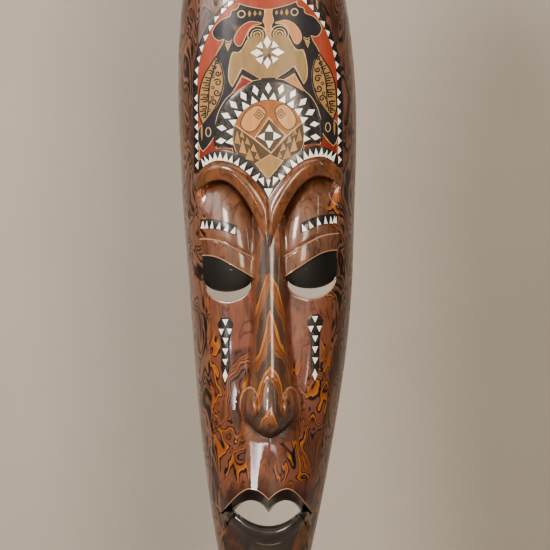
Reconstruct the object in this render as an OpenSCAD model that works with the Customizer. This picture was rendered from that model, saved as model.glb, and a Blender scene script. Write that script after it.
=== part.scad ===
/* [Mask] */
// Height of the mask from top to chin
mask_h = 1000; // [960:10:1040]
// Half of the width at the widest place
half_w = 108.3; // [100:0.5:115]
// Depth of the plain half-round form, before the features are carved
crest_d = 76; // [70:1:82]
// Squareness of the half-round form across the mask
roundness = 2.3; // [2:0.1:2.6]
// Height of the top of the mask above the hanger's hinge
top_z = 70; // [66:1:76]

/* [Face] */
// Depth of the eye sockets at their top
socket_d = 20; // [14:1:22]
// Height of the brow roll
brow_h = 5; // [3:0.5:7]
// How far the eyelids swell out of their sockets
lid_h = 23; // [18:1:25]
// Height of the nose above the plain form at its tip
nose_h = 26; // [18:1:30]
// Depth of the bevel behind the upper lip
bevel_d = 19; // [12:1:20]

/* [Hollow back] */
// Depth of the hollow at its deepest place
hollow_d = 44; // [36:1:46]
// Solid wood left above the hollow
land_h = 130; // [120:5:150]
// Solid wood left below the hollow
chin_land_h = 70; // [60:5:90]
// Depth of the pocket that the hanger lies in
pocket_d = 8.5; // [8:0.5:10]

/* [Inlay] */
// Depth of the black beds below the surface
bed_t = 2.2; // [1.6:0.1:3]
// How far the beds stand proud of the wood
bed_proud = 0.3; // [0.2:0.05:0.5]
// Thickness of the shell chips
chip_t = 1.8; // [1.4:0.1:2]
// How far the chips stand proud of the wood
chip_proud = 0.8; // [0.6:0.05:1]

/* [Hanger] */
// Width of the hanger's strap
strap_w = 14; // [12:1:16]
// Thickness of the strap
strap_t = 1.2; // [1:0.1:1.5]
// Radius of the ring's wire
wire_r = 1.2; // [1:0.1:1.3]
// Radius of the ring, to the middle of its wire
ring_r = 11; // [10:0.5:12]
// Radial clearance between the ring's bar and the rolled eye
eye_gap = 0.05; // [0.03:0.01:0.1]

/* [Hidden] */
$fn = 48;
wood_colour = "#8a4a28";
bed_colour = "#24211f";
shell_colour = "#f4eee2";
steel_colour = "#b9bcc0";
// The carving is laid out for a form 1000 high and stretched to mask_h
stretch = mask_h / 1000;
// Heights down from the top, for a mask 1000 high
wide_t = 330;
chin_t = 1000;
// The form's two ends are cut off flat this far in
end_t = 2;
arch_t = 305;
arch_a = 84;
arch_b = 114;
arch_low_t = 408;
band_w = 6.5;
burst_t = 367;
star_t = 267;
eye_a = 50;
mouth_a = 42;

// ---- Small helpers ----
function clip(v, a = 0, b = 1) = max(a, min(b, v));
function ease(a, b, v) = let (u = clip((v - a) / (b - a))) u * u * (3 - 2 * u);
function soft(v, w) = v / w > 30 ? v : w * ln(1 + exp(v / w));
function bulge(u, v) = sqrt(clip(1 - u * u - v * v));
function bell(v) = exp(-v * v);

// ---- The plain form: half width, depth and the small unevenness of hand carving ----
function half_width(t) = t < wide_t
    ? half_w * sqrt(clip(1 - pow((wide_t - t) / wide_t, 2), 0.0001))
    : half_w * (1 + 0.022 * bell((t - 640) / 150))
      * pow(clip(1 - pow(clip((t - wide_t) / (chin_t - wide_t)), 1.5), 0.0001), 0.507);
function crest(t) = crest_d * sqrt(clip(1 - pow(abs(1 - 2 * t / chin_t), 3)));
function lift(x, t) = 0.04 * x * ease(700, 560, t);
function sway(t) = 2.5 * bell((t - 650) / 120);
function edge_bow(t) = clip(half_width(t) / 60) * (-7 * ease(420, 100, t) - 5 * ease(700, 900, t)
    + 1.5 * bell((t - 540) / 70) - 2.5 * bell((t - 720) / 80));
function bent(x, t) = x + sway(t) + edge_bow(t) * pow(clip(abs(x) / half_width(t)), 2);
function plain(x, t) =
    crest(t) * pow(clip(1 - pow(clip(abs(x) / half_width(t)), roundness)), 1 / roundness);

// ---- Carving lines, as a height down from the top over the distance a from the middle ----
function brow_top(a) = 395 + (a < 61 ? 48 * pow(1 - a / 61, 2) : 14 * pow((a - 61) / 25, 2));
function brow_low(a) = 417 + (a < 60 ? 90 * pow(1 - a / 60, 2) : 10 * pow((a - 60) / 25, 2));
function lid_crease(a) = 487 + 0.53 * soft(66 - a, 5);
function lid_edge(a) = 508.5 + 0.62 * soft(66 - a, 5);
function ball_low(a) = max(538 + 15 * bulge((a - eye_a) / 29, 0), lid_edge(a) + 2);
function eye_low(a) = max(539 + 25.6 * bulge((a - eye_a) / 30, 0), ball_low(a) + 0.8);
function nose_base(a) = 731 - 21 * pow(clip(a / 29, 0, 1.3), 1.6);
function lip_rim(a) = 792.5 + (a < 23 ? 13 * pow(1 - a / 23, 2) : 27 * pow(clip(a - 23, 0, 30) / 29, 1.6));
function gap_top(a) =
    max(lip_rim(a) + 2,
        806.5 + (a < 21 ? 10.5 * pow(1 - a / 21, 2) : 11 * pow(clip(a - 21, 0, 22) / 21, 2)));
function gap_low(a) = max(837.3 - 20 * pow(clip(a / mouth_a), 2), gap_top(a) + 0.8);
function lip_low(a) = max(861 - 22 * pow(clip(a / mouth_a, 0, 1.3), 2), gap_low(a) + 3);

// ---- Carved relief over the plain form, at distance x from the middle and height t ----
function nose_half(t) =
    lookup(t, [[430, 12], [470, 13], [540, 17], [600, 18], [645, 22], [670, 26], [700, 30], [731, 30]]);
function nose_rise(t) =
    nose_h * lookup(t, [[443, 0], [480, 0.12], [540, 0.31], [600, 0.54], [660, 0.81], [700, 1]]);
function brow_relief(a, e) =
    let (v = clip((e - brow_top(a)) / (brow_low(a) - brow_top(a))))
    brow_h * sin(180 * pow(v, 0.8)) * ease(96, 84, a) * ease(-3, 3, a);
function lid_relief(a, e) =
    let (u = clip((e - brow_low(a) - 3) / (lid_edge(a) - brow_low(a) - 3)))
    -socket_d + lid_h * sin(90 * pow(u, 0.7)) * pow(bulge((a - 51) / 36, 0), 0.7)
    + 1.5 * ease(0, 3, e - lid_crease(a));
function ball_relief(a, e) = -13 + 15 * bulge((a - eye_a) / 34, (e - 520) / 42);
function cheek_relief(a, e) =
    -7 * ease(470, 540, e) * ease(790, 650, e) * bell((a - 26) / 34);
function socket_relief(a, e, foot) =
    let (inside = ease(0, 1, (e - brow_low(a)) / 3) * ease(foot - 1, foot + 7, a) * ease(92, 68, a),
         under = ease(-0.5, 1.5, e - lid_edge(a)), below = ease(-2, 3, e - eye_low(a)),
         eye = lid_relief(a, e) * (1 - under) + ball_relief(a, e) * under)
    inside * (eye * (1 - below) + cheek_relief(a, e) * below);
function nose_relief(a, e, foot) =
    let (fall = bulge(clip((e - nose_base(a) + 26) / 26), 0))
    fall * (nose_rise(e) * clip(1 - pow(clip(a / (foot + 3)), 1.7))
            + 7 * bulge(a / 15, (e - 694) / 34) + 11 * bulge((a - 27) / 12.5, (e - 692) / 22));
function lip_relief(a, e) =
    let (inside = ease(58, 46, a), w = clip((e - gap_low(a)) / (lip_low(a) - gap_low(a))))
    inside * ((e < lip_rim(a) + 20 ? 5 * pow(clip((e - lip_rim(a) + 60) / 60), 2) : 0)
              - bevel_d * clip((e - lip_rim(a)) / (gap_top(a) - lip_rim(a)))
                * ease(0, 1, (gap_low(a) + 1 - e) / 2)
              + (w > 0 && w < 1 ? -3 * pow(1 - w, 2) + 6 * sin(180 * pow(w, 0.8)) : 0));
function muzzle_relief(a, e) =
    9 * clip(1 - pow(a / 64, 2) - pow((e - 775) / 100, 2))
    + 3.2 * pow(clip(1 - a / 28), 2) * ease(722, 734, e) * ease(812, 800, e)
    + 5 * clip(1 - pow(a / 44, 2) - pow((e - 912) / 58, 2));
function relief(x, t) =
    let (a = abs(x), e = t + lift(x, t), foot = nose_half(e))
    e < 380 ? 0 : brow_relief(a, e) + socket_relief(a, e, foot) + nose_relief(a, e, foot)
                  + muzzle_relief(a, e) + lip_relief(a, e);
function depth(x, t) = plain(x, t) + relief(x, t) * ease(1, 0.93, abs(x) / half_width(t));
function point(x, t, proud = 0) =
    [bent(x, t), -max(depth(x, t) + proud, 0), top_z - t * stretch];

// ---- The hollow back and the hanger's pocket, as a depth in front of the wall plane ----
half_cols = 19;
rim_col = 12;
pocket_col = 3;
pocket_top = top_z - 17;
pocket_low = top_z + 42;
function inner_depth(x, t, c) =
    let (v = (t - land_h) / (chin_t - chin_land_h - land_h), e = t + lift(x, t),
         s = abs(x) / (half_width(t) * sin(90 * rim_col / half_cols)))
    e > pocket_top + 0.9 && e < pocket_low - 0.9 && abs(c) < (pocket_col + 0.5) / half_cols ? pocket_d
    : v <= 0 || v >= 1 || s >= 1 ? 0
    : hollow_d * sqrt(1 - pow(2 * v - 1, 4)) * pow(1 - pow(s, 2.4), 1 / 2.4);

// How far the back sits below the front round the mouth, so that the floor of the opening slopes down
function drop(t) = 9 * ease(800, 832, t) * ease(905, 850, t);

// ---- The wood as one grid, whose rows follow the carving lines on the front and the back ----
function lines(a) =
    [end_t, pocket_top, pocket_top + 1, pocket_low - 1, pocket_low, land_h, brow_top(a), brow_low(a),
     brow_low(a) + 3, lid_crease(a), lid_edge(a), ball_low(a), eye_low(a), nose_base(a), lip_rim(a),
     gap_top(a), gap_low(a), lip_low(a), chin_t - chin_land_h, chin_t - end_t];
row_counts = [3, 1, 2, 1, 1, 10, 3, 1, 4, 3, 3, 1, 10, 5, 2, 2, 2, 4, 3];
eye_band = 11;
mouth_band = 15;
cols = 2 * half_cols;
row_keys = [0, for (k = [0:len(row_counts) - 1]) for (i = [1:row_counts[k]]) k + i / row_counts[k]];
row_n = len(row_keys);
wide = cols + 1;
back = row_n * wide;
function between(list, key) =
    let (k = min(floor(key), len(list) - 2)) list[k] + (list[k + 1] - list[k]) * (key - k);
// A few passes settle the height, because the width at a row depends on it
function row_t(c, key, t, passes) =
    let (x = half_width(t) * sin(90 * c), e = between(lines(abs(x)), key),
             next = clip(e - lift(x, e), end_t, chin_t - end_t))
    passes == 0 ? next : row_t(c, key, next, passes - 1);
grid = [for (key = row_keys) for (j = [0:cols]) let (c = j / half_cols - 1,
        t = row_t(c, key, between(lines(50), key), 3)) [half_width(t) * sin(90 * c), t, c]];
wood_points = concat(
    [for (g = grid) point(g[0], g[1])],
    [for (g = grid) let (t = g[1] + drop(g[1]), x = g[0] * half_width(t) / half_width(g[1]))
     [bent(x, t), -inner_depth(x, t, g[2]), top_z - t * stretch]]);
// Front and back meet at the two outer columns, where they share points
function back_of(i, j) = (j == 0 || j == cols ? 0 : back) + i * wide + j;
function middle_x(i, j) = abs(grid[i * wide + j][0] + grid[i * wide + j + 1][0]) / 2;
function is_open(i, j) =
    i < 0 || j < 0 || i >= row_n - 1 || j >= cols ? false
    : let (k = floor(row_keys[i] + 0.001), a = middle_x(i, j))
      (k == eye_band && abs(a - eye_a) < 27) || (k == mouth_band && a < mouth_a);
function quad(a, b, c, d) = [[a, b, c], [a, c, d]];
cells = [for (i = [0:row_n - 2]) for (j = [0:cols - 1]) [i, j]];
skin_faces = [for (g = cells) let (i = g[0], j = g[1], p = i * wide + j) if (!is_open(i, j))
              each concat(quad(p, p + 1, p + wide + 1, p + wide),
                          quad(back_of(i, j), back_of(i + 1, j),
                                back_of(i + 1, j + 1), back_of(i, j + 1)))];
wall_faces = [for (g = cells) let (i = g[0], j = g[1], p = i * wide + j) if (is_open(i, j)) each concat(
    is_open(i - 1, j) ? [] : quad(p, p + 1, back_of(i, j + 1), back_of(i, j)),
    is_open(i + 1, j) ? [] : quad(p + wide + 1, p + wide, back_of(i + 1, j), back_of(i + 1, j + 1)),
    is_open(i, j - 1) ? [] : quad(p + wide, p, back_of(i, j), back_of(i + 1, j)),
    is_open(i, j + 1) ? [] : quad(p + 1, p + wide + 1, back_of(i + 1, j + 1), back_of(i, j + 1)))];
chin_row = (row_n - 1) * wide;
end_faces = [for (j = [0:cols - 1]) each concat(
    quad(j + 1, j, back_of(0, j), back_of(0, j + 1)),
    quad(chin_row + j, chin_row + j + 1, back_of(row_n - 1, j + 1), back_of(row_n - 1, j)))];
function is_flat(f) = f[0] == f[1] || f[1] == f[2] || f[0] == f[2];

module mask_body() {
    color(wood_colour)
        polyhedron(wood_points, [for (f = concat(skin_faces, wall_faces, end_faces)) if (!is_flat(f)) f],
                   convexity = 12);
}

// ---- Inlay: beds that follow the surface, and chips set square to it ----
module patch(grid) {
    n = len(grid);
    m = len(grid[0]);
    pts = concat([for (r = grid) for (p = r) point(p[0], p[1], bed_proud)],
                 [for (r = grid) for (p = r) point(p[0], p[1], -bed_t)]);
    b = n * m;
    skins = [for (i = [0:n - 2]) for (j = [0:m - 2]) let (p = i * m + j) each
             [[p, p + 1, p + m + 1], [p, p + m + 1, p + m],
              [b + p, b + p + m + 1, b + p + 1], [b + p, b + p + m, b + p + m + 1]]];
    sides = [for (i = [0:n - 2]) each let (p = i * m, q = p + m - 1)
             [[p, p + m, b + p + m], [p, b + p + m, b + p], [q, b + q + m, q + m], [q, b + q, b + q + m]]];
    ends = [for (j = [0:m - 2]) each let (q = (n - 1) * m + j)
            [[j, b + j + 1, j + 1], [j, b + j, b + j + 1], [q, q + 1, b + q + 1], [q, b + q + 1, b + q]]];
    polyhedron(pts, concat(skins, sides, ends), convexity = 6);
}
// Turns a height that follows the tilt of the face into a plain height
function level(x, e) = [x, e - lift(x, e)];
module chip(x, e, outline) {
    p = level(x, e);
    step = 0.5;
    slope_x = (depth(p[0] + step, p[1]) - depth(p[0] - step, p[1])) / (2 * step);
    slope_t = (depth(p[0], p[1] + step) - depth(p[0], p[1] - step)) / (2 * step);
    translate(point(p[0], p[1], chip_proud - chip_t)) rotate([0, 0, -atan(slope_x)])
        rotate([90 - atan(slope_t / norm([1, slope_x])), 0, 0]) linear_extrude(chip_t) polygon(outline);
}
function turned(outline, a) =
    [for (p = outline) [p[0] * cos(a) - p[1] * sin(a), p[0] * sin(a) + p[1] * cos(a)]];
function triangle(w, h) = [[-w / 2, 0], [w / 2, 0], [0, h]];
function diamond(w, h) = [[0, -h / 2], [w / 2, 0], [0, h / 2], [-w / 2, 0]];

// Border arch: straight sides below, an ellipse above
side_steps = 9;
arch_steps = 36;
function border_point(u, out) =
    let (run = arch_low_t - arch_t, s = u * (side_steps * 2 + arch_steps))
    s <= side_steps ? [-arch_a - out, arch_low_t - run * s / side_steps]
    : s >= side_steps + arch_steps
    ? [arch_a + out, arch_t + run * (s - side_steps - arch_steps) / side_steps]
    : let (g = 180 - 180 * (s - side_steps) / arch_steps)
      [(arch_a + out) * cos(g), arch_t - (arch_b + out) * sin(g)];
module border_bed() {
    n = side_steps * 2 + arch_steps;
    color(bed_colour) patch([for (i = [0:n])
        let (p = border_point(i / n, 0), q = border_point(i / n, band_w))
                             [level(p[0], p[1]), level(q[0], q[1])]]);
}
side_chips = 8;
arch_chips = 13;
module border_shells(side) {
    chip_w = 9.5;
    chip_h = 5;
    for (i = [0:side_chips - 1])
        chip(side * (arch_a + 0.5), arch_low_t - 9 - i * (arch_low_t - arch_t - 10) / side_chips,
             turned(triangle(chip_w, chip_h), -90 * side));
    for (i = [0:arch_chips - 1]) {
        g = 90 * (i + 0.5) / arch_chips;
        facing = atan2(sin(g) / arch_b, cos(g) / arch_a);
        chip(side * (arch_a + 0.5) * cos(g), arch_t - (arch_b + 0.5) * sin(g),
             turned(triangle(chip_w, chip_h), side * (facing - 90)));
    }
}
module border_shells_left() { color(shell_colour) border_shells(-1); }
module border_shells_right() { color(shell_colour) border_shells(1); }

// Brow band: it follows the top of the brow roll from side to side
band_h = 13;
module brow_bed() {
    n = 32;
    color(bed_colour) patch([for (i = [0:n]) let (x = 83.5 * sin(-90 + 180 * i / n), low = brow_top(abs(x)),
                             high = low - band_h - 10 * pow(1 - abs(x) / 85, 3))
                             [level(x, high), level(x, (low + high) / 2), level(x, low)]]);
}
brow_chips = 11;
module brow_shells(side) {
    for (i = [0:brow_chips - 1]) {
        x = 84.5 * sin(11.8 + 5.25 * i);
        tilt = atan(brow_top(x + 1) - brow_top(x));
        chip(side * x, brow_top(x) - 0.6, turned(triangle(7.6 - 0.12 * i, 10.5), -side * tilt));
    }
}
module brow_shells_left() { color(shell_colour) brow_shells(-1); }
module brow_shells_right() { color(shell_colour) brow_shells(1); }
module brow_point_shells() {
    color(shell_colour) {
        chip(0, 436, [[-5.5, 5.5], [5.5, 5.5], [0, -6]]);
        chip(0, 424.5, [[-2.6, 4.5], [2.6, 4.5], [0, -4.5]]);
        for (side = [-1, 1])
            chip(side * 8.3, 421.5, [[-3 * side, 5], [4.5 * side, 2.5], [-3 * side, -6.5]]);
    }
}

// Sunburst: rays on a black dome, round the painted disc
disc_r = 42.4;
rays = 14;
ray_diamonds = 13;
module sunburst_bed() {
    n = 30;
    color(bed_colour) patch([for (i = [0:n]) let (g = 190 - 200 * i / n) [for (r = [disc_r, 54, 66])
                             level(r * cos(g), burst_t - r * sin(g))]]);
}
module sunburst_triangles() {
    color(shell_colour) for (i = [0:rays - 1]) {
        g = 187 - 194 * i / (rays - 1);
        chip((disc_r + 0.6) * cos(g), burst_t - (disc_r + 0.6) * sin(g), turned(triangle(8.6, 8.6), g - 90));
    }
}
module sunburst_diamonds() {
    color(shell_colour) for (i = [0:ray_diamonds - 1]) {
        g = 184 - 188 * i / (ray_diamonds - 1);
        chip(57 * cos(g), burst_t - 57 * sin(g), turned(diamond(6.4, 12), g - 90));
    }
}
module medallion_shells() {
    color(shell_colour) for (g = [0:90:270])
        chip(1.2 - 9.5 * sin(g), burst_t + 1 - 9.5 * cos(g), turned([[-5, -4], [5, -4], [0, 5]], g));
}

// Star above the sunburst: four diamonds and four triangles, with a rim of resin round them
star_x = -1.2;
star_quarter = [[0, 21.2], [21, 13.4], [28, 16.6], [45, 15.2], [62, 16.6], [69, 13.4]];
module star_bed() {
    color(bed_colour) chip(star_x, star_t, [for (q = [0:3], p = star_quarter) let (g = 90 * q + p[0])
                                            [p[1] * sin(g), p[1] * cos(g)]]);
}
module star_shells() {
    color(shell_colour) for (i = [0:7]) let (r = i % 2 == 0 ? 12.6 : 12.3, g = 45 * i)
        translate([0, -0.4, 0]) chip(star_x - r * sin(g), star_t - r * cos(g),
            turned(i % 2 == 0 ? diamond(9, 15) : [[-4.8, 2.6], [4.8, 2.6], [0, -5.6]], g));
}

// Eyelid bands
lid_chips = 7;
function lid_band_low(a) = 476 + 0.42 * soft(62 - a, 5);
module eyelid_bed(side) {
    n = 10;
    color(bed_colour) patch([for (i = [0:n])
        let (a = 60.5 + side * 22.5 * (2 * i / n - 1), low = lid_band_low(a))
                             [level(side * a, low - 12), level(side * a, low - 6), level(side * a, low)]]);
}
module eyelid_shells(side) {
    color(shell_colour) for (i = [0:lid_chips - 1]) {
        x = 43.5 + 37 * pow(sin(90 * i / (lid_chips - 1)), 1.1);
        tilt = atan(lid_band_low(x + 1) - lid_band_low(x));
        chip(side * x, lid_band_low(x) - 0.5, turned(triangle(6.6 - 0.35 * i, 9.4), -side * tilt));
    }
}
module eyelid_bed_left() { eyelid_bed(-1); }
module eyelid_bed_right() { eyelid_bed(1); }
module eyelid_shells_left() { eyelid_shells(-1); }
module eyelid_shells_right() { eyelid_shells(1); }

// Cheek columns: a pair of chips at the top, five in line, and a diamond below
column_x = 54;
column_t = 584;
function column_half(t) = lookup(t, [[0, 5], [8, 10], [20, 6.5], [32, 5.4], [64, 4.8], [84, 0.6]]);
module cheek_bed(side) {
    color(bed_colour) patch([for (t = [0, 8, 14, 20, 32, 48, 64, 74, 84]) [for (s = [-1, 0, 1])
                             [side * column_x + s * column_half(t), column_t + t]]]);
}
module cheek_shells(side) {
    drop = [[-4, 4], [4, 4], [0, -4.5]];
    color(shell_colour) {
        chip(side * column_x, column_t + 6, drop);
        for (s = [-1, 1]) chip(side * column_x + s * 5, column_t + 17.5, drop * 0.9);
        for (i = [0:2]) chip(side * column_x, column_t + 29 + 13 * i, drop * 0.92);
        chip(side * column_x, column_t + 71.5, diamond(6.4, 15.5));
    }
}
module cheek_bed_left() { cheek_bed(-1); }
module cheek_bed_right() { cheek_bed(1); }
module cheek_shells_left() { cheek_shells(-1); }
module cheek_shells_right() { cheek_shells(1); }

// ---- Hanger: a strap with a rolled eye, a ring that swings in it, and two screws ----
axis_above = 4.2;
axis_y = -pocket_d + strap_t + axis_above;
eye_in = wire_r + eye_gap;
eye_out = eye_in + strap_t;
eye_len = 9;
strap_len = 32;
screw_z = [-11, -24];
screw_r = 1.6;
module hanger_strap() {
    color(steel_colour) difference() {
        union() {
            translate([-strap_w / 2, -pocket_d, -strap_len]) cube([strap_w, strap_t, strap_len]);
            translate([-eye_len / 2, -pocket_d, -eye_out])
                cube([eye_len, strap_t + axis_above, 2 * eye_out]);
            translate([-eye_len / 2, axis_y, 0]) rotate([0, 90, 0]) cylinder(r = eye_out, h = eye_len);
        }
        translate([-eye_len, axis_y, 0]) rotate([0, 90, 0]) cylinder(r = eye_in, h = 2 * eye_len);
        for (z = screw_z) translate([0, -pocket_d - 1, z]) rotate([-90, 0, 0])
            cylinder(r = screw_r + 0.2, h = strap_t + 2);
    }
}
module hanger_ring() {
    color(steel_colour) translate([0, axis_y, 0]) {
        rotate([0, 90, 0]) cylinder(r = wire_r, h = 2 * ring_r, center = true);
        rotate([90, 0, 0]) rotate([0, 0, 180]) rotate_extrude(angle = 180)
            translate([ring_r, 0]) circle(wire_r, $fn = 24);
        for (side = [-1, 1]) translate([side * ring_r, 0, 0]) sphere(wire_r);
    }
}
module hanger_screws() {
    head_r = 3;
    head_h = 1.8;
    shank_len = 16;
    color(steel_colour) for (z = screw_z) translate([0, -pocket_d + strap_t, z]) rotate([90, 0, 0]) {
        translate([0, 0, -head_h]) difference() {
            cylinder(r = head_r, h = head_h);
            for (turn = [0, 90]) rotate([0, 0, turn]) translate([-2, -0.4, -1]) cube([4, 0.8, 1.9]);
        }
        cylinder(r = screw_r, h = shank_len);
        translate([0, 0, shank_len]) cylinder(r1 = screw_r, r2 = 0.3, h = 3);
    }
}

mask_body();
border_bed();
brow_bed();
sunburst_bed();
star_bed();
eyelid_bed_left();
eyelid_bed_right();
cheek_bed_left();
cheek_bed_right();
border_shells_left();
border_shells_right();
brow_shells_left();
brow_shells_right();
brow_point_shells();
sunburst_diamonds();
sunburst_triangles();
star_shells();
medallion_shells();
eyelid_shells_left();
eyelid_shells_right();
cheek_shells_left();
cheek_shells_right();
hanger_strap();
hanger_ring();
hanger_screws();
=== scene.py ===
from math import atan, atan2, cos, degrees, pi, radians, sin

import bpy
import numpy as np
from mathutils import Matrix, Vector
from mathutils.geometry import delaunay_2d_cdt


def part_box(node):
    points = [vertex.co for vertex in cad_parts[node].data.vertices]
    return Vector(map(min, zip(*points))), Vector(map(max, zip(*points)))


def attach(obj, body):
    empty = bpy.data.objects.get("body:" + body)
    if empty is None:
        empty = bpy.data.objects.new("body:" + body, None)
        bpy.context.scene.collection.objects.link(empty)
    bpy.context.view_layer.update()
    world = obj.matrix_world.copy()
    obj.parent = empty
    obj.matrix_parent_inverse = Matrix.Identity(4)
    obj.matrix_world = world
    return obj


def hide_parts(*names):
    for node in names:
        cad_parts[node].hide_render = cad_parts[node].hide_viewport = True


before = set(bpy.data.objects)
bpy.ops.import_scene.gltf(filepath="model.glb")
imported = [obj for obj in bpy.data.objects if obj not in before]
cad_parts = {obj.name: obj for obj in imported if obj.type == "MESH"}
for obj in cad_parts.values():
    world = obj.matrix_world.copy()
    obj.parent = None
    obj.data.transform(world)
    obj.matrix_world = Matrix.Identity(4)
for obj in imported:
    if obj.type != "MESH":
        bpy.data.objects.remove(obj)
SCENE = bpy.context.scene


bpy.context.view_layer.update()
BODY = "mask"
wood_low, wood_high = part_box("mask_body")

# ---------------- the form, in millimetres
# t is the height down from the top of the form, x the distance from its middle.
# FAR is the distance past which an edge or a stain counts as far off.
END = 2.0
LENGTH = 1000.0
TOP = wood_high[2] * 1000 + END
HALF_W = 108.3
CREST = 76.0
ROUND = 2.3
WIDE_T = 330.0
LAND_T = 130.0
CHIN_T = 930.0
HOLLOW_D = 44.0
POCKET_D = 8.5
POCKET_TOP = TOP - 17
POCKET_LOW = TOP + 42
ARCH_T = 305.0
ARCH_A = 84.0
ARCH_B = 114.0
ARCH_LOW = 408.0
BAND_W = 6.5
BURST_T = 367.0
STAR_T = 267.0
STAR_X = -1.2
EYE_A = 50.0
EYE_HOLE_A = 27.0
MOUTH_A = 42.0
HOLLOW_ANGLE = 90 * 12 / 19
BROW_PROUD = 5.0
SOCKET_D = 20.0
LID_PROUD = 23.0
BALL_D = 13.0
BALL_PROUD = 15.0
CHEEK_D = 7.0
NOSE_PROUD = 26.0
NOSE_FOOT = 26.0
FLARE_PROUD = 5.0
MOUTH_D = 19.0
CHIN_PROUD = 5.0
MOUTH_DROP = 9.0
FAR = 9.0


def clip(v, low=0.0, high=1.0):
    return np.clip(v, low, high)


def ease(a, b, v):
    u = clip((v - a) / (b - a))
    return u * u * (3 - 2 * u)


def soft(v, w):
    return w * np.logaddexp(0, v / w)


def bulge(u, v=0.0):
    return np.sqrt(clip(1 - u * u - v * v))


def bell(v):
    return np.exp(-v * v)


def half_width(t):
    up = np.sqrt(clip(1 - ((WIDE_T - t) / WIDE_T) ** 2, 0.0001))
    down = clip(1 - clip((t - WIDE_T) / (LENGTH - WIDE_T)) ** 1.5, 0.0001) ** 0.507
    return HALF_W * np.where(t < WIDE_T, up, down * (1 + 0.022 * bell((t - 640) / 150)))


def crest(t):
    return CREST * np.sqrt(clip(1 - np.abs(1 - 2 * t / LENGTH) ** 3))


def lift(x, t):
    return 0.04 * x * ease(700, 560, t)


def bent(x, t):
    sway = 2.5 * bell((t - 650) / 120)
    bow = -7 * ease(420, 100, t) - 5 * ease(700, 900, t)
    bow = bow + 1.5 * bell((t - 540) / 70) - 2.5 * bell((t - 720) / 80)
    return x + sway + bow * clip(half_width(t) / 60) * clip(np.abs(x) / half_width(t)) ** 2


def plain(x, t):
    across = clip(np.abs(x) / half_width(t))
    return crest(t) * clip(1 - across ** ROUND) ** (1 / ROUND)


# Carving lines: height down from the top over the distance a from the middle
def brow_top(a):
    return 395 + np.where(a < 61, 48 * (1 - a / 61) ** 2, 14 * ((a - 61) / 25) ** 2)


def brow_low(a):
    return 417 + np.where(a < 60, 90 * (1 - a / 60) ** 2, 10 * ((a - 60) / 25) ** 2)


def lid_crease(a):
    return 487 + 0.53 * soft(66 - a, 5)


def lid_edge(a):
    return 508.5 + 0.62 * soft(66 - a, 5)


def ball_low(a):
    return np.maximum(538 + 15 * bulge((a - EYE_A) / 29), lid_edge(a) + 2)


def eye_low(a):
    return np.maximum(539 + 25.6 * bulge((a - EYE_A) / 30), ball_low(a) + 0.8)


def nose_base(a):
    return 731 - 21 * clip(a / 29, 0, 1.3) ** 1.6


def lip_rim(a):
    return 792.5 + np.where(a < 23, 13 * (1 - a / 23) ** 2, 27 * (clip(a - 23, 0, 30) / 29) ** 1.6)


def gap_top(a):
    arc = np.where(a < 21, 10.5 * (1 - a / 21) ** 2, 11 * (clip(a - 21, 0, 22) / 21) ** 2)
    return np.maximum(806.5 + arc, lip_rim(a) + 2)


def gap_low(a):
    return np.maximum(837.3 - 20 * clip(a / MOUTH_A) ** 2, gap_top(a) + 0.8)


def lip_low(a):
    return np.maximum(861 - 22 * clip(a / MOUTH_A, 0, 1.3) ** 2, gap_low(a) + 3)


def nose_half(t):
    return np.interp(t, [430, 470, 540, 600, 645, 670, 700, 731], [12, 13, 17, 18, 22, 26, 30, 30])


def nose_rise(t):
    return NOSE_PROUD * np.interp(t, [443, 480, 540, 600, 660, 700], [0, 0.12, 0.31, 0.54, 0.81, 1])


def brow_relief(a, e):
    v = clip((e - brow_top(a)) / (brow_low(a) - brow_top(a)))
    return BROW_PROUD * np.sin(np.pi * v ** 0.8) * ease(96, 84, a) * ease(-3, 3, a)


def socket_relief(a, e, foot):
    inside = ease(0, 1, (e - brow_low(a)) / 3) * ease(foot - 1, foot + 7, a) * ease(92, 68, a)
    u = clip((e - brow_low(a) - 3) / (lid_edge(a) - brow_low(a) - 3))
    lid = -SOCKET_D + LID_PROUD * np.sin(np.pi / 2 * u ** 0.7) * bulge((a - 51) / 36) ** 0.7
    lid += 1.5 * ease(0, 2, e - lid_crease(a)) - 1.2 * bell((e - lid_crease(a) + 0.6) / 1.1)
    ball = -BALL_D + BALL_PROUD * bulge((a - EYE_A) / 34, (e - 520) / 42)
    cheek = -CHEEK_D * ease(470, 540, e) * ease(790, 650, e) * bell((a - 26) / 34)
    under = ease(-0.2, 0.9, e - lid_edge(a))
    below = ease(-1, 1, e - eye_low(a))
    return inside * ((lid * (1 - under) + ball * under) * (1 - below) + cheek * below)


def nose_relief(a, e, foot):
    fall = bulge(clip((e - nose_base(a) + NOSE_FOOT) / NOSE_FOOT))
    ridge = nose_rise(e) * clip(1 - clip(a / (foot + 3)) ** 2.2)
    ball = 7 * bulge(a / 15, (e - 694) / 34)
    wing = 11 * bulge((a - 27) / 12.5, (e - 692) / 22)
    return fall * (ridge + ball + wing)


def lip_relief(a, e):
    flare = np.where(e < lip_rim(a) + 20, FLARE_PROUD * clip((e - lip_rim(a) + 60) / 60) ** 2, 0)
    bevel = MOUTH_D * clip((e - lip_rim(a)) / (gap_top(a) - lip_rim(a)))
    bevel = bevel * ease(0, 1, (gap_low(a) + 1 - e) / 2)
    w = clip((e - gap_low(a)) / (lip_low(a) - gap_low(a)))
    lower = np.where((w > 0) & (w < 1), -3 * (1 - w) ** 2 + 6 * np.sin(np.pi * w ** 0.8), 0)
    return ease(58, 46, a) * (flare - bevel + lower)


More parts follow.
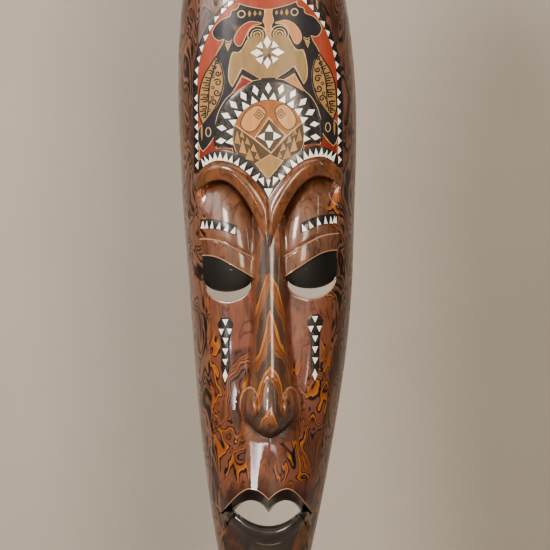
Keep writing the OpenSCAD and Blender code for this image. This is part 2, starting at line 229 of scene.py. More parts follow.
def muzzle_relief(a, e):
    round_part = 9 * clip(1 - (a / 64) ** 2 - ((e - 775) / 100) ** 2)
    keel = 3.2 * clip(1 - a / 28) ** 2 * ease(722, 734, e) * ease(812, 800, e)
    return round_part + keel + CHIN_PROUD * clip(1 - (a / 44) ** 2 - ((e - 912) / 58) ** 2)


def depth(x, t):
    a = np.abs(x)
    e = t + lift(x, t)
    foot = nose_half(e)
    carved = (brow_relief(a, e) + socket_relief(a, e, foot) + nose_relief(a, e, foot)
              + lip_relief(a, e) + muzzle_relief(a, e))
    carved = np.where(e < 380, 0, carved)
    return plain(x, t) + carved * ease(1, 0.93, a / half_width(t))


def level(x, e):
    return e - lift(x, e)


def drop(t):
    """How far the back surface sits below the front round the mouth, so that its floor slopes down."""
    return MOUTH_DROP * ease(800, 832, t) * ease(905, 850, t)


def on_wood(x, t, proud=0.0):
    """Points in metres on the wood's front, or proud of it by some millimetres."""
    x, t = np.asarray(x, float), np.asarray(t, float)
    y = -np.maximum(depth(x, t) + proud, 0)
    return np.stack([bent(x, t), y, TOP - t], -1) / 1000


def inner_depth(x, t, in_pocket):
    v = clip((t - LAND_T) / (CHIN_T - LAND_T))
    s = clip(np.abs(x) / (half_width(t) * sin(radians(HOLLOW_ANGLE))))
    hollow = HOLLOW_D * np.sqrt(1 - (2 * v - 1) ** 4) * clip(1 - s ** 2.4) ** (1 / 2.4)
    return np.where(in_pocket, POCKET_D, hollow)


# ---------------- materials
def srgb(code):
    part = [int(code[i:i + 2], 16) / 255 for i in (1, 3, 5)]
    return [v / 12.92 if v < 0.04045 else ((v + 0.055) / 1.055) ** 2.4 for v in part] + [1.0]


class Shader:
    """A material with its nodes, built up a call at a time."""

    def __init__(self, name, **sockets):
        self.material = bpy.data.materials.new(name)
        self.material.use_nodes = True
        self.tree = self.material.node_tree
        self.main = self.tree.nodes["Principled BSDF"]
        for key, value in sockets.items():
            self.main.inputs[key.replace("_", " ")].default_value = value
        self.point = self.add("ShaderNodeTexCoord").outputs["Object"]

    def add(self, kind, **links):
        node = self.tree.nodes.new(kind)
        for key, value in links.items():
            self.put(node.inputs[key.replace("_", " ")], value)
        return node

    def put(self, socket, value):
        if isinstance(value, bpy.types.NodeSocket):
            self.tree.links.new(value, socket)
        else:
            socket.default_value = srgb(value) if isinstance(value, str) else value

    def scaled(self, tall):
        return self.add("ShaderNodeMapping", Vector=self.point, Scale=(1, 1, tall)).outputs["Vector"]

    def noise(self, vector, scale, detail=3.0, distortion=0.0, rough=0.55):
        return self.add("ShaderNodeTexNoise", Vector=vector, Scale=scale, Detail=detail,
                        Distortion=distortion, Roughness=rough).outputs["Fac"]

    def ramp(self, value, stops):
        """Colours along a value: (place, colour), or (from, to, colour) where one holds for a while."""
        stops = [(place, colour) for *places, colour in stops for place in places]
        node = self.add("ShaderNodeValToRGB", Fac=value)
        while len(node.color_ramp.elements) < len(stops):
            node.color_ramp.elements.new(0.5)
        for element, (place, colour) in zip(node.color_ramp.elements, stops):
            element.position = place
            element.color = srgb(colour) if isinstance(colour, str) else colour
        return node.outputs["Color"]

    def mix(self, factor, a, b, blend="MIX"):
        node = self.tree.nodes.new("ShaderNodeMix")
        node.data_type = "RGBA"
        node.blend_type = blend
        self.put(node.inputs[0], factor)
        self.put(node.inputs[6], a)
        self.put(node.inputs[7], b)
        return node.outputs[2]

    def math(self, kind, a, b=0.0):
        node = self.tree.nodes.new("ShaderNodeMath")
        node.operation = kind
        self.put(node.inputs[0], a)
        self.put(node.inputs[1], b)
        return node.outputs[0]

    def span(self, value, low, high, out_low=0.0, out_high=1.0):
        node = self.add("ShaderNodeMapRange", Value=value, From_Min=low, From_Max=high,
                        To_Min=out_low, To_Max=out_high)
        return node.outputs["Result"]

    def attribute(self, name, output="Fac"):
        node = self.tree.nodes.new("ShaderNodeAttribute")
        node.attribute_name = name
        return node.outputs[output]

    def bump(self, height, strength, distance):
        node = self.add("ShaderNodeBump", Height=height, Strength=strength, Distance=distance)
        self.put(self.main.inputs["Normal"], node.outputs["Normal"])

    def colour(self, value):
        self.put(self.main.inputs["Base Color"], value)

    def rough(self, value):
        self.put(self.main.inputs["Roughness"], value)

    def surface(self, value, smooth, dull, strength, distance):
        """Gloss and fine relief that follow the same pattern."""
        self.rough(self.span(value, 0.3, 0.7, smooth, dull))
        self.bump(value, strength, distance)


BLACK = "#17130f"
WHITE = "#ffffff"


def marbling(s, push_size, scale, stretch, stops):
    """Contours of a warped noise, as colours floated on a bath and laid on the wood."""
    warp = s.add("ShaderNodeTexNoise", Vector=s.scaled(stretch), Scale=scale * 0.8, Detail=1.5)
    push = s.tree.nodes.new("ShaderNodeVectorMath")
    push.operation = "MULTIPLY_ADD"
    s.put(push.inputs[0], warp.outputs["Color"])
    push.inputs[1].default_value = (push_size, push_size, push_size)
    s.put(push.inputs[2], s.scaled(stretch))
    return s.ramp(s.noise(push.outputs[0], scale, 1.5, 0.8, 0.5), stops)


def wood_material():
    """Stained, marbled and lacquered wood, with painted shade under the brows and nose and pale edges that
    are partly wear and partly painted highlight; the mesh says where each treatment lies.
    """
    s = Shader("lacquered_wood", Coat_Weight=0.6, Coat_Roughness=0.06)
    rosy, orange, brown = "#7c5041", "#a1602f", "#4a2d22"
    veins = marbling(s, 0.06, 34.0, 0.5, [
        (0.0, 0.25, brown), (0.33, 0.35, "#6a4334"), (0.362, 0.38, BLACK), (0.39, rosy), (0.432, "#6d4231"),
        (0.442, 0.456, BLACK), (0.466, "#8e4f2b"), (0.5, orange), (0.513, "#c27a33"), (0.524, 0.542, BLACK),
        (0.552, rosy), (0.605, "#7a4530"), (0.617, BLACK), (0.63, orange), (0.655, BLACK),
        (0.67, "#643f31"), (0.75, 1.0, brown)])
    flecks = marbling(s, 0.05, 34.0, 0.45, [
        (0.0, 0.43, WHITE), (0.45, (0.12, 0.1, 0.09, 1)), (0.475, 0.6, WHITE), (0.62, (0.2, 0.15, 0.12, 1)),
        (0.645, 1.0, WHITE)])
    side = marbling(s, 0.05, 40.0, 0.36, [
        (0.0, "#5f4032"), (0.35, "#7a5544"), (0.375, 0.4, "#221611"), (0.415, "#6b4636"), (0.46, "#85604f"),
        (0.475, 0.5, "#221611"), (0.515, "#6a4535"), (0.56, "#7b5645"), (0.575, 0.6, "#281a14"),
        (0.615, "#634234"), (0.7, "#4a3026"), (1.0, "#3a261e")])
    tint = s.attribute("tint", "Color")
    grain = s.noise(s.scaled(0.06), 420.0, 3.0, 0.3)
    clouds = s.noise(s.scaled(0.45), 30.0, 3.0, 1.4)
    gold = s.noise(s.scaled(0.5), 22.0, 2.0, 2.0)
    base = s.mix(s.span(clouds, 0.36, 0.58, 0.5, 0.0), tint, "#3a2016")
    base = s.mix(s.span(gold, 0.54, 0.66, 0.0, 0.25), base, "#b07c48")
    base = s.mix(s.span(grain, 0.45, 0.75, 0.0, 0.25), base, BLACK)
    base = s.mix(0.6, base, flecks, "MULTIPLY")
    patch = s.noise(s.scaled(0.7), 17.0, 2.0, 0.5)
    spread = s.math("ADD", s.attribute("batik"), s.math("MULTIPLY", patch, 1.6))
    base = s.mix(s.span(spread, 1.36, 1.46), base, veins)
    base = s.mix(s.span(s.attribute("chevron"), 0.0, 1.0, 0.0, 0.8), base, nose_bands(s))
    base = s.mix(s.span(s.attribute("teardrop"), 0.2, 0.7, 0.0, 0.85), base, "#3e3632")
    base = s.mix(s.span(s.attribute("side"), 0.35, 0.6), base, side)
    eyeball = s.attribute("eyeball")
    ink = s.mix(s.span(clouds, 0.35, 0.65), "#1f1b19", "#38312c")
    ink = s.mix(eyeball, ink, "#171412")
    chin = s.span(s.attribute("chin"), -0.6, 0.6)
    dark = s.math("MAXIMUM", eyeball, s.math("MAXIMUM", s.attribute("lips"), chin))
    base = s.mix(dark, base, ink)
    # Pale lines along the carved edges: partly wear from handling, partly painted highlight where the edges
    # catch the light.
    edge_wear_and_highlight = FAR
    for name in ("rim_crease", "rim_lid", "rim_eye", "rim_nostril", "rim_lip", "rim_chin"):
        edge_wear_and_highlight = s.math("MINIMUM", edge_wear_and_highlight, s.math("ABSOLUTE", s.attribute(name)))
    edge_wear_and_highlight = s.math("MULTIPLY", s.span(edge_wear_and_highlight, 0.25, 0.9, 0.7, 0.0), s.span(patch, 0.3, 0.5, 0.35, 1.0))
    edge_wear_and_highlight = s.math("MULTIPLY", edge_wear_and_highlight, s.attribute("rubbed"))
    base = s.mix(edge_wear_and_highlight, base, "#d6ae8c")
    raw_grain = s.noise(s.scaled(0.05), 160.0, 4.0, 0.6)
    raw = s.ramp(raw_grain, [(0.3, "#5b3c22"), (0.5, "#8a6440"), (0.7, "#a07a50")])
    bare = s.attribute("raw")
    s.colour(s.mix(bare, base, raw))
    smear = s.noise(s.point, 70.0, 4.0)
    gloss = s.span(smear, 0.3, 0.7, 0.26, 0.44)
    matt = s.math("MAXIMUM", s.math("MULTIPLY", bare, 0.75), s.math("MULTIPLY", eyeball, 0.55))
    s.rough(s.math("MAXIMUM", gloss, matt))
    hide = s.math("MAXIMUM", bare, s.math("MULTIPLY", eyeball, 0.8))
    s.put(s.main.inputs["Coat Weight"], s.span(hide, 0.0, 1.0, 0.6, 0.0))
    chisel = s.noise(s.scaled(0.25), 90.0, 2.0)
    s.bump(s.math("ADD", s.math("MULTIPLY", grain, 0.35), chisel), 0.3, 0.0012)
    return s.material


def nose_bands(s):
    """Bands that run up to a point on the nose's ridge, grey-black and orange in turn."""
    waver = s.noise(s.scaled(0.5), 42.0, 1.0, 0.6)
    phase = s.math("MULTIPLY", s.attribute("arms"), 18.9)
    phase = s.math("ADD", phase, s.math("MULTIPLY", waver, 0.9))
    phase = s.math("ADD", phase, 0.8)
    return s.ramp(s.math("FRACT", phase), [
        (0.0, "#463a33"), (0.2, "#54443a"), (0.225, 0.25, BLACK), (0.275, "#b07438"), (0.4, "#bb8348"),
        (0.43, BLACK), (0.45, "#824a2b"), (0.62, "#9c5c30"), (0.65, BLACK), (0.67, "#946240"),
        (0.76, "#7d5640"), (0.79, BLACK), (0.81, "#54443a"), (1.0, "#463a33")])


def paint_material():
    """Brushed paint in flat fields under the same lacquer, rubbed thin in places."""
    s = Shader("forehead_paint", Coat_Weight=0.14, Coat_Roughness=0.2, Specular_IOR_Level=0.35)
    paint = s.attribute("paint", "Color")
    brush = s.noise(s.scaled(0.3), 130.0, 4.0, 0.4)
    rubbed = s.noise(s.point, 42.0, 5.0, 0.2, 0.65)
    tone = s.mix(s.span(brush, 0.3, 0.7, 0.0, 0.22), paint, "#3a2418")
    tone = s.mix(s.span(rubbed, 0.62, 0.78, 0.0, 0.35), tone, "#a9764c")
    s.colour(tone)
    s.surface(brush, 0.42, 0.6, 0.25, 0.0006)
    return s.material


def resin_material():
    s = Shader("black_resin", Coat_Weight=0.4, Coat_Roughness=0.15)
    speck = s.noise(s.point, 260.0, 4.0)
    s.colour(s.ramp(speck, [(0.3, "#15120f"), (0.62, "#2b2622"), (0.8, "#4a4038")]))
    s.surface(speck, 0.22, 0.5, 0.3, 0.0006)
    return s.material


def star_ground_material():
    s = Shader("star_ground", Coat_Weight=0.3, Coat_Roughness=0.2)
    speck = s.noise(s.point, 190.0, 4.0, 0.8)
    s.colour(s.ramp(speck, [(0.3, "#3a3029"), (0.5, "#7a664a"), (0.7, "#94794f")]))
    s.surface(speck, 0.3, 0.5, 0.3, 0.0005)
    return s.material


def shell_material():
    s = Shader("shell", Coat_Weight=0.5, Coat_Roughness=0.1, Subsurface_Weight=0.08)
    s.main.inputs["Subsurface Radius"].default_value = (0.002, 0.0016, 0.0012)
    layers = s.noise(s.scaled(0.5), 120.0, 3.0, 1.2)
    stain = s.noise(s.point, 30.0, 2.0)
    pearl = s.ramp(layers, [(0.3, "#f4ecdc"), (0.5, "#fffdf8"), (0.7, "#f8f3ec")])
    s.colour(s.mix(s.span(stain, 0.62, 0.75, 0.0, 0.25), pearl, "#e8cc9c"))
    s.surface(layers, 0.18, 0.34, 0.15, 0.0004)
    return s.material


def steel_material():
    s = Shader("zinc_steel", Metallic=1.0)
    scratches = s.noise(s.scaled(0.1), 900.0, 3.0)
    dull = s.noise(s.point, 180.0, 4.0)
    s.colour(s.ramp(dull, [(0.35, "#8d8f90"), (0.6, "#b8babb"), (0.75, "#94908a")]))
    s.rough(s.span(dull, 0.3, 0.7, 0.28, 0.5))
    s.bump(scratches, 0.2, 0.0003)
    return s.material


WOOD = wood_material()
PAINT = paint_material()
RESIN = resin_material()
SHELL = shell_material()
STEEL = steel_material()


# ---------------- pieces
def placed(name, data):
    thing = bpy.data.objects.new(name, data)
    SCENE.collection.objects.link(thing)
    return thing


def new_piece(name, points, faces, material, slot, *nodes, sharp=None):
    mesh = bpy.data.meshes.new(name)
    mesh.from_pydata([tuple(map(float, p)) for p in points], [], [tuple(map(int, f)) for f in faces])
    mesh.update()
    mesh.shade_smooth()
    if sharp is not None:
        mesh.set_sharp_from_angle(angle=radians(sharp))
    mesh.materials.append(material)
    piece = placed(name, mesh)
    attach(piece, BODY)
    if nodes:
        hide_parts(*nodes)
    return piece


# ---------------- the wooden body
def flat_line(t):
    return lambda a: t + 0 * a


def beside(line, by):
    return lambda a: line(a) + by


# Carving lines from top to chin, each with the number of rows down to the next
ROWS = [
    (flat_line(END), 8), (flat_line(POCKET_TOP), 1), (flat_line(POCKET_TOP + 1), 6),
    (flat_line(POCKET_LOW - 1), 1), (flat_line(POCKET_LOW), 3), (flat_line(LAND_T), 36), (brow_top, 10),
    (brow_low, 4), (beside(brow_low, 3), 20), (beside(lid_crease, -2), 4), (beside(lid_crease, 2), 7),
    (lid_edge, 2), (beside(lid_edge, 1), 12), (ball_low, 1), (eye_low, 2), (beside(eye_low, 1.5), 50),
    (nose_base, 22), (lip_rim, 6), (gap_top, 1), (gap_low, 12), (lip_low, 22),
    (flat_line(CHIN_T), 12), (flat_line(LENGTH - END), 0)]
EYE_BAND = 13
MOUTH_BAND = 18
HALF_COLS = 76
POCKET_COLS = 14


def wood_grid():
    """x, t and column fraction of every grid point, and the carving band that each row starts."""
    keys, bands = [], []
    for k, (line, count) in enumerate(ROWS):
        keys += [k + i / count for i in range(count)] if count else [float(k)]
        bands += [k] * max(count, 1)
    keys = np.array(keys)
    column = np.linspace(-1, 1, 2 * HALF_COLS + 1)
    across = np.sign(column) * (1 - (1 - np.abs(column)) ** 1.35)
    key, c = np.meshgrid(keys, across, indexing="ij")
    k = np.minimum(key.astype(int), len(ROWS) - 2)
    t = np.full(key.shape, 400.0)
    for _ in range(8):
        x = half_width(t) * c
        a = np.abs(x)
        lines = np.stack([line(a) for line, _ in ROWS])
        low = np.take_along_axis(lines, k[None], 0)[0]
        high = np.take_along_axis(lines, k[None] + 1, 0)[0]
        e = low + (high - low) * (key - k)
        t = clip(e - lift(x, e), END, LENGTH - END)
    return half_width(t) * c, t, np.array(bands)


def distinct(corners):
    """Corners of a face, where those that the front and back share count once."""
    return list(dict.fromkeys(corners))


def wood_body():
    x, t, bands = wood_grid()
    rows, cols = x.shape
    col = np.abs(np.arange(cols) - HALF_COLS)[None].repeat(rows, 0)
    e = t + lift(x, t)
    in_pocket = (e > POCKET_TOP + 0.9) & (e < POCKET_LOW - 0.9) & (col <= POCKET_COLS)
    front = on_wood(x, t).reshape(-1, 3)
    low_t = t + drop(t)
    low_x = x * half_width(low_t) / half_width(t)
    inner = inner_depth(low_x, low_t, in_pocket)
    back = np.stack([bent(low_x, low_t), -inner, TOP - low_t], -1).reshape(-1, 3) / 1000
    number = np.arange(rows * cols).reshape(rows, cols)
    behind = number + rows * cols
    behind[:, 0], behind[:, -1] = number[:, 0], number[:, -1]
    middle = np.abs(x[:-1, :-1] + x[:-1, 1:]) / 2
    band = bands[:-1, None]
    hole = (band == EYE_BAND) & (np.abs(middle - EYE_A) < EYE_HOLE_A)
    hole |= (band == MOUTH_BAND) & (middle < MOUTH_A)
    faces = []
    for i in range(rows - 1):
        for j in range(cols - 1):
            f = [number[i, j], number[i + 1, j], number[i + 1, j + 1], number[i, j + 1]]
            b = [behind[i, j], behind[i + 1, j], behind[i + 1, j + 1], behind[i, j + 1]]
            if not hole[i, j]:
                faces += [f, distinct([b[0], b[3], b[2], b[1]])]
                continue
            for down, right, p, q in ((-1, 0, 3, 0), (1, 0, 1, 2), (0, -1, 0, 1), (0, 1, 2, 3)):
                if not hole[i + down, j + right]:
                    faces.append([f[p], b[p], b[q], f[q]])
    for j in range(cols - 1):
        faces.append(distinct([number[0, j], number[0, j + 1], behind[0, j + 1], behind[0, j]]))
        faces.append(distinct([number[-1, j + 1], number[-1, j], behind[-1, j], behind[-1, j + 1]]))
    piece = new_piece("mask_body_carved", np.concatenate([front, back]), faces, WOOD, "lacquered_wood",
                      "mask_body", sharp=42)
    paint_wood(piece.data, x, t)


def zone_colours(a, zones):
    """The stain under the marbling: golden on the brows and nose, rosy brown on the cheeks, with painted
    shade in the sockets under the brows and under the nose.
    """
    tint = np.empty(a.shape + (4,))
    tint[:] = srgb("#80502f")
    for amount, code in zones:
        tint[:] = tint * (1 - amount[..., None]) + np.array(srgb(code)) * amount[..., None]
    return tint


def rim_distances(a, e):
    """Signed distances in millimetres to the carved edges that are painted pale, partly as wear from
    handling and partly as painted highlight.
    """
    arc = (np.sqrt(((a - 24.5) / 11.5) ** 2 + ((e - 693) / 23) ** 2) - 1) * 13
    rims = {
        "rim_crease": (ease(17, 20, a) * ease(85, 83, a), e - lid_crease(a) - 0.9),
        "rim_lid": (ease(17.5, 20.5, a) * ease(83, 81, a), e - lid_edge(a) + 0.9),
        "rim_eye": (ease(19, 22, a) * ease(81, 79, a), e - eye_low(a) - 0.8),
        "rim_nostril": (ease(700, 694, e) * ease(11, 13, a), arc),
        "rim_lip": (ease(52, 50, a), e - lip_rim(a) + 0.8),
        "rim_chin": (ease(18, 12, a), e - lip_low(a) + 1)}
    # Where the pale edge lines lie: wear and painted highlight together.
    rubbed = np.maximum.reduce([mask * (np.abs(d) < 6) for mask, d in rims.values()])
    values = {name: clip(d, -FAR, FAR) for name, (_, d) in rims.items()}
    values["rubbed"] = rubbed.astype(float)
    return values


def paint_wood(mesh, x, t):
    """Point attributes that say how each part of the wood was stained, and where painted shade and pale
    edges lie.
    """
    a = np.abs(x)
    e = t + lift(x, t)
    q = a / half_width(t)
    below_brow = ease(-1, 3, e - brow_low(a))
    nose = ease(nose_half(e) + 4, nose_half(e) - 2, a) * ease(738, 728, e) * ease(440, 470, e)
    on_lid = below_brow * ease(1, -1, e - lid_edge(a)) * (1 - nose) * ease(92, 86, a)
    on_ball = ease(-0.3, 0.6, e - lid_edge(a)) * ease(1.5, -0.5, e - ball_low(a)) * (np.abs(a - EYE_A) < 31)
    lips = ease(-0.3, 0.4, e - lip_rim(a)) * ease(56, 51, a) * ease(3, 1, e - gap_low(a))
    chin_line = 12 + 33 * np.exp(-clip(t - 829, -12, 999) / 60)
    chin = np.minimum(np.minimum(e - gap_low(a) + 1, chin_line - a), (e - 809) * 0.8)
    # Painted shade on the nose's underside, darkest just above its base, where it faces down.
    shade_under_nose = ease(-24, -7, e - nose_base(a)) * ease(8, 0, e - nose_base(a)) * ease(34, 26, a)
    forehead = ease(ARCH_LOW + 8, ARCH_LOW, e)
    up = clip((ARCH_T - e) / (ARCH_B + BAND_W - 0.6), 0, 9)
    outside = (a / (ARCH_A + BAND_W - 0.6)) ** 2 + up ** 2
    side = np.maximum(ease(0.78, 0.86, q + 0.04 * bell((t - 590) / 80)), forehead * (outside > 1))
    cheek = below_brow * (1 - nose) * (1 - on_lid) * ease(-1, 1, e - eye_low(a))
    muzzle = ease(722, 745, e) * ease(34, 22, a)
    # Painted shade in the eye socket just under the brow's overhang, fading down the lid.
    socket = on_lid * ease(24, 4, e - brow_low(a)) * 0.8
    low_face = ease(775, 805, e)
    tint = zone_colours(a, [(on_lid, "#825b47"), (socket, "#5d3826"), (nose, "#84563b"), (cheek, "#865443"),
                            (muzzle * cheek, "#7c4934"), (low_face, "#42271f"), (shade_under_nose, "#38201a")])
    patchy = 0.8 * ease(540, 700, e) + 0.5 * ease(55, 80, a) + 0.15
    batik = cheek * clip(patchy) * (1 - 0.4 * muzzle)
    batik = np.maximum(batik, on_lid * (0.15 + 0.4 * ease(64, 80, a) + 0.3 * ease(34, 22, a)))
    batik = np.maximum(batik, nose * 0.4 * ease(10, 18, a))
    batik = batik * (1 - shade_under_nose) * ease(796, 770, e + 0.3 * clip(a - 30, 0, 60))
    chevron = nose * ease(520, 545, e) * ease(722, 708, e) * ease(20, 14, a)
    teardrop = nose * ease(3.5 + (e - 482) * 0.22, 2.5 + (e - 482) * 0.2, a) * ease(480, 490, e)
    teardrop = teardrop * ease(540, 528, e)
    rims = rim_distances(a, e)
    values = {"batik": batik, "side": side, "eyeball": on_ball, "lips": lips, "chin": clip(chin, -FAR, FAR),
              "raw": np.zeros_like(x), "chevron": chevron, "teardrop": teardrop,
              "arms": (e - 2.5 * a) / 1000, **rims}
    away = {**dict.fromkeys(rims, FAR), "raw": 1.0, "chin": -FAR, "rubbed": 0.0}
    for name, value in values.items():
        layer = mesh.attributes.new(name, "FLOAT", "POINT")
        behind = np.full(value.size, away.get(name, 0.0))
        layer.data.foreach_set("value", np.concatenate([value.ravel(), behind]).astype(np.float32))
    layer = mesh.attributes.new("tint", "FLOAT_COLOR", "POINT")
    both = np.concatenate([tint.reshape(-1, 4), tint.reshape(-1, 4)])
    layer.data.foreach_set("color", both.ravel().astype(np.float32))


# ---------------- outlines on the forehead
def arch_point(u, out=0.0):
    """Point of the border arch: 0 at the left foot, 1 at the right foot."""
    run = ARCH_LOW - ARCH_T
    arc = pi * (ARCH_A + ARCH_B) / 2
    s = u * (2 * run + arc)
    if s < run:
        return -ARCH_A - out, ARCH_LOW - s
    if s > run + arc:
        return ARCH_A + out, ARCH_T + (s - run - arc)
    g = pi * (1 - (s - run) / arc)
    return (ARCH_A + out) * cos(g), ARCH_T - (ARCH_B + out) * sin(g)


def curve(points, steps=4, closed=False):
    """A Catmull-Rom curve through a few points."""
    p = np.array(points, float)
    if closed:
        p = np.concatenate([p[-1:], p, p[:2]])
    else:
        p = np.concatenate([2 * p[:1] - p[1:2], p, 2 * p[-1:] - p[-2:-1]])
    out = []
    for i in range(1, len(p) - 2):
        for s in np.arange(steps) / steps:
            out.append(0.5 * (2 * p[i] + (p[i + 1] - p[i - 1]) * s
                              + (2 * p[i - 1] - 5 * p[i] + 4 * p[i + 1] - p[i + 2]) * s ** 2
                              + (3 * p[i] - p[i - 1] - 3 * p[i + 1] + p[i + 2]) * s ** 3))
    if not closed:
        out.append(p[-2])
    return np.array(out)


def stroke(points, width, closed=False):
    """Quads along a line, as drawn by a tool of that width."""
    p = np.array(points, float)
    if closed:
        p = np.concatenate([p, p[:1]])
    way = np.diff(p, axis=0)
    way /= np.maximum(np.linalg.norm(way, axis=1), 1e-6)[:, None]
    if closed:
        before, after = np.concatenate([way[-1:], way]), np.concatenate([way, way[:1]])
    else:
        before, after = np.concatenate([way[:1], way]), np.concatenate([way, way[-1:]])
    mean = before + after
    mean /= np.maximum(np.linalg.norm(mean, axis=1), 0.3)[:, None]
    side = np.stack([-mean[:, 1], mean[:, 0]], -1)
    stretch = 1 / np.maximum((mean * after).sum(1), 0.6)
    side *= (width / 2 * stretch)[:, None]
    return [np.array([p[i] + side[i], p[i + 1] + side[i + 1], p[i + 1] - side[i + 1], p[i] - side[i]])
            for i in range(len(p) - 1)]


def circle(x, e, r, ry=None, n=20):
    g = np.linspace(0, 2 * pi, n, endpoint=False)
    return np.stack([x + r * np.cos(g), e + (ry or r) * np.sin(g)], -1)


def spiral(x, e, r, turns, start=0.0, n=40):
    s = np.linspace(0.12, 1, n)
    g = start + s * turns * 2 * pi
    return np.stack([x + r * s * np.cos(g), e + r * s * np.sin(g)], -1)


def square_spiral(x, e, size, way=1):
    corners = [(0, 0), (0.3, 0), (0.3, 0.3), (-0.3, 0.3), (-0.3, -0.35), (0.62, -0.35), (0.62, 0.65),
               (-0.62, 0.65), (-0.62, -0.7), (0.9, -0.7)]
    g = radians(42)
    out = []
    for u, v in corners:
        a, b = way * u * size / 2, v * size / 2
        out.append((x + way * (a * way * cos(g) - b * sin(g)),
                    e + a * way * sin(g) + b * cos(g)))
    return np.array(out)


RED = "#a34a35"
DEEP_RED = "#8c3324"
NAVY = "#22232a"
TAN = "#a98658"
KHAKI = "#9c8259"
PEACH = "#c98a5e"
CREAM = "#cdb182"
UMBER = "#5b4636"
DISC_TAN = "#a5683a"
PETAL = "#cf9a64"
INK = "#221a15"
LIGHT_TAN = "#b8935f"
GREY_GREEN = "#4d4f45"
GOLD = "#c9963f"


class Drawing:
    """Fields and lines in the order they were painted, each over those before it."""

    def __init__(self):
        self.shapes = []

    def field(self, outline, colour):
        self.shapes.append((np.array(outline, float), colour))

    def line(self, points, width, colour, closed=False):
        for part in stroke(points, width, closed):
            self.shapes.append((part, colour))

    def edged(self, outline, colour, edge=CREAM, width=0.9):
        self.field(outline, colour)
        self.line(outline, width, edge, closed=True)


def mirrored(points, side):
    p = np.array(points, float)
    p[:, 0] *= side
    return p


def draw_side(d, side):
    """The figures beside the sunburst; side is -1 on the left and 1 on the right."""
    def m(points):
        return mirrored(points, side)

    lobe = curve([(34, 206.5), (37, 212.5), (43.5, 215), (45.5, 221), (54.5, 224.5), (60.5, 229.5),
                  (65, 236), (65.8, 242), (62.5, 247.6), (58, 249.8), (52.5, 248.4)])
    column = np.concatenate([
        lobe, curve([(54.5, 254), (60, 263), (62, 269), (56.5, 279), (53.4, 291), (53.4, 304), (55.5, 314),
                     (60, 325.5), (66, 335), (72, 342.5), (78.8, 350), (84, 356), (84.2, 372), (78.5, 382),
                     (71, 374), (64.4, 363.5), (63.4, 350), (59.2, 334.6), (51.4, 321.5), (43.5, 314),
                     (36, 302)]),
        [(31.5, 293.5), (19, 300.5), (9, 299), (31.2, 284.5)],
        curve([(43, 306.5), (46.6, 300), (47.6, 290), (46, 277), (42.6, 265.5), (36, 265.4), (30.8, 261),
               (26.8, 253.5), (22.8, 247.5), (20.4, 243.5)]),
        [(4, 239), (4, 227), (4.4, 214.6)],
        curve([(4.4, 214.6), (15, 212.5), (26.6, 209.6), (34, 206.5)], 3)[:-1]])
    d.edged(m(column), NAVY)
    tongue = curve([(8.5, 231.6), (14, 229.6), (22, 228.9), (30.5, 232.8), (37.4, 240.6), (40.6, 248.4),
                    (39.6, 254), (36, 257.6), (32.2, 256.7), (28.8, 250.5), (25, 242), (19.4, 234.6)],
                   closed=True)
    d.edged(m(tongue), RED if side < 0 else PEACH)
    for r, colour, width in ((11.2, CREAM, 1.2), (9.0, INK, 1.2), (7.4, CREAM, 1.0), (5.7, INK, 1.0),
                             (4.2, CREAM, 1.0), (2.6, INK, 0.9)):
        g = np.linspace(radians(-25), radians(205), 18)
        d.line(m(np.stack([13.4 + r * np.cos(g), 245.5 - r * 0.95 * np.sin(g)], -1)), width, colour)
    d.edged(m(circle(32, 219.3, 4.1)), NAVY, CREAM, 1.5)
    d.field(m(circle(32, 219.3, 1.6)), INK)
    for i, (x, tall) in enumerate(((22.5, 8.5), (16, 7.5), (10, 6.5))):
        drop = [(x, 219 - tall / 2), (x + 2.1, 219.5), (x, 219 + tall / 2), (x - 2.1, 219.5)]
        d.field(m(drop), GOLD if i == 0 else TAN)
    for i in range(2):
        d.line(m(curve([(51, 250.5 + 2.4 * i), (47, 252 + 2.4 * i), (43, 249.6 + 2.4 * i)], 3)), 0.9, CREAM)
    d.edged(m([(50.5, 255.5), (44.6, 254.5), (48.2, 263)]), TAN, CREAM, 0.6)
    wedge = [(31.7, 294.7), (19.4, 301.2), (33.1, 309), (42.4, 315)]
    d.edged(m(wedge), DEEP_RED if side < 0 else PEACH, CREAM, 0.8)
    draw_wing(d, m)
    d.edged(m(circle(72.2, 359.5, 3.0, 5.4)), NAVY, CREAM, 1.1)
    d.field(m(curve([(79.6, 351), (81.4, 357), (80.2, 370), (78.9, 360)], closed=True)), TAN)
    horn = [(64, 364), (70.8, 374.4), (78.4, 382.4), (83.2, 378), (83.4, 392.3), (76, 388.5), (61.7, 384.2),
            (48, 385.5), (42, 386.4), (43.4, 380.6), (62.8, 379.6)]
    d.edged(m(horn), DEEP_RED, CREAM, 0.7)


